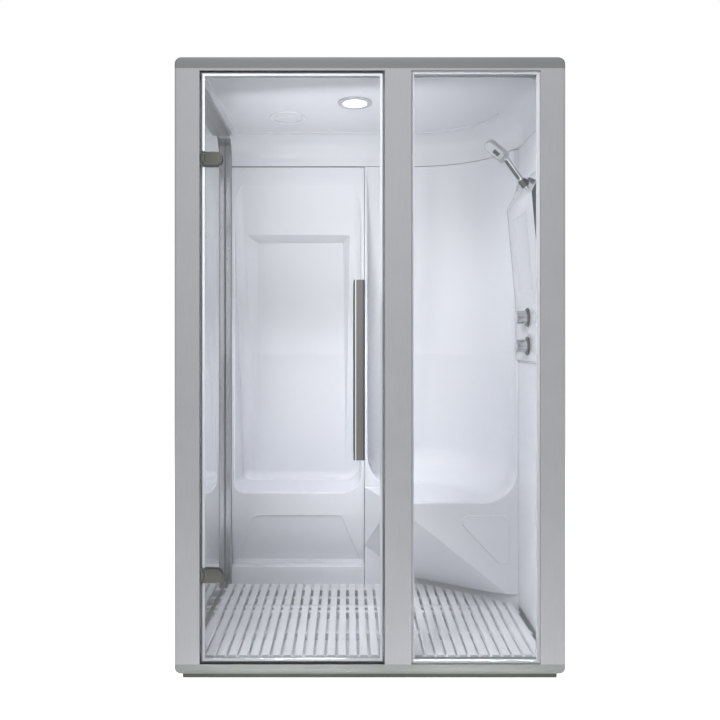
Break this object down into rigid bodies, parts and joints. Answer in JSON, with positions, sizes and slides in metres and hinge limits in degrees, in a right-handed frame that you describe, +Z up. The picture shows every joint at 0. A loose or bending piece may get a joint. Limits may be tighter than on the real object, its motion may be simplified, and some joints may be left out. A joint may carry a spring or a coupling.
{
  "type": "steam room",
  "caption": "Free-standing steam cabin with an aluminium frame, hinged glass door, fixed pane, moulded white seats, slatted floor mat and a shower panel with a hand shower.",
  "frame": {"origin": "centre of the bounding box at the floor, under the plinth", "axes": "+X to the right as seen from the front, +Y from the door to the back wall, +Z up"},
  "size_m": [1.39, 1.285, 2.224],
  "materials": {
    "frame_aluminium": "satin silver-grey",
    "outer_panel": "satin light grey composite",
    "mirror_liner": "silvered wall mirror",
    "white_liner": "glossy white",
    "white_acrylic": "glossy white moulding",
    "mat_plastic": "matt white slats",
    "chrome": "polished",
    "steel": "brushed",
    "lamp_lens": "frosted",
    "vent_plastic": "satin white",
    "glass": "clear toughened glass",
    "clear_seal": "pale translucent strip",
    "grey_magnet": "grey strip",
    "dark_plastic": "dark grey",
    "brass": "plain"
  },
  "bodies": {
    "cabin": {"plinth": "frame_aluminium", "base_rail_front": "frame_aluminium", "base_rails_rear": "frame_aluminium", "roof_cap": "frame_aluminium", "post_left": "frame_aluminium", "post_centre": "frame_aluminium", "post_right": "frame_aluminium", "rear_posts": "frame_aluminium", "header_rail": "frame_aluminium", "seat_bearers": "frame_aluminium", "corner_trim": "frame_aluminium", "ceiling_trim": "frame_aluminium", "side_panels": "outer_panel", "back_panel": "outer_panel", "wall_liner_left": "mirror_liner", "wall_liner_right": "white_liner", "floor_tray": "white_acrylic", "seat_module_left": "white_acrylic", "seat_module_corner": "white_acrylic", "ceiling_panel": "white_acrylic", "shower_panel": "white_acrylic", "floor_mat_rear": "mat_plastic", "hinge_leaves": "chrome", "hinge_pins": "chrome", "knob_rosettes": "chrome", "holder_bracket": "chrome", "lamp_bezel": "chrome", "leaf_screws": "steel", "drain_outlet": "steel", "boiler_tank": "steel", "boiler_fittings": "steel", "steam_pipe": "steel", "steam_nozzle": "steel", "lamp_housing": "steel", "lamp_lens": "lamp_lens", "ceiling_vent": "vent_plastic", "fixed_pane": "glass", "glazing_beads": "clear_seal", "magnet_strip": "grey_magnet", "shower_end_cap": "dark_plastic", "control_box": "dark_plastic", "mixer_valve": "brass", "water_inlets": "brass"},
    "door": {"door_glass": "glass", "handle_outer": "chrome", "handle_inner": "chrome", "handle_studs": "chrome", "hinge_clamps": "chrome", "hinge_back_plates": "chrome", "clamp_screws": "steel", "door_seals": "clear_seal", "latch_seal": "clear_seal"},
    "handset_holder": {"handset_holder": "chrome"},
    "hand_shower": {"handset_shell": "chrome", "spray_plate": "chrome", "hose_union": "chrome"},
    "spray_button": {"spray_button": "dark_plastic"},
    "flow_knob": {"flow_knob": "chrome"},
    "thermostat_knob": {"thermostat_knob": "chrome"},
    "floor_mat_front": {"floor_mat_front": "mat_plastic"}
  },
  "joints": [
    {"name": "door_hinge", "type": "hinge", "parent": "cabin", "child": "door", "pos_m": [-0.6, -0.5765, 1.104], "axis": [0, 0, -1], "range_deg": [0, 100]},
    {"name": "holder_tilt", "type": "hinge", "parent": "cabin", "child": "handset_holder", "pos_m": [0.60612, -0.4175, 1.81665], "axis": [0, 1, 0], "range_deg": [-8, 8]},
    {"name": "hand_shower_lift", "type": "slide", "parent": "handset_holder", "child": "hand_shower", "axis": [-0.5878, 0, 0.809], "range_m": [0, 0.05]},
    {"name": "spray_button_press", "type": "slide", "parent": "hand_shower", "child": "spray_button", "axis": [0.5265, 0.5736, 0.6275], "range_m": [0, 0.0015], "stiffness_N_per_m": 800},
    {"name": "flow_turn", "type": "hinge", "parent": "cabin", "child": "flow_knob", "pos_m": [0.62, -0.2475, 1.184], "axis": [-1, 0, 0], "range_deg": [-90, 90]},
    {"name": "thermostat_turn", "type": "hinge", "parent": "cabin", "child": "thermostat_knob", "pos_m": [0.62, -0.2475, 1.299], "axis": [-1, 0, 0], "range_deg": [-90, 120]},
    {"name": "mat_lift", "type": "slide", "parent": "cabin", "child": "floor_mat_front", "axis": [0, 0, 1], "range_m": [0, 0.3]}
  ]
}
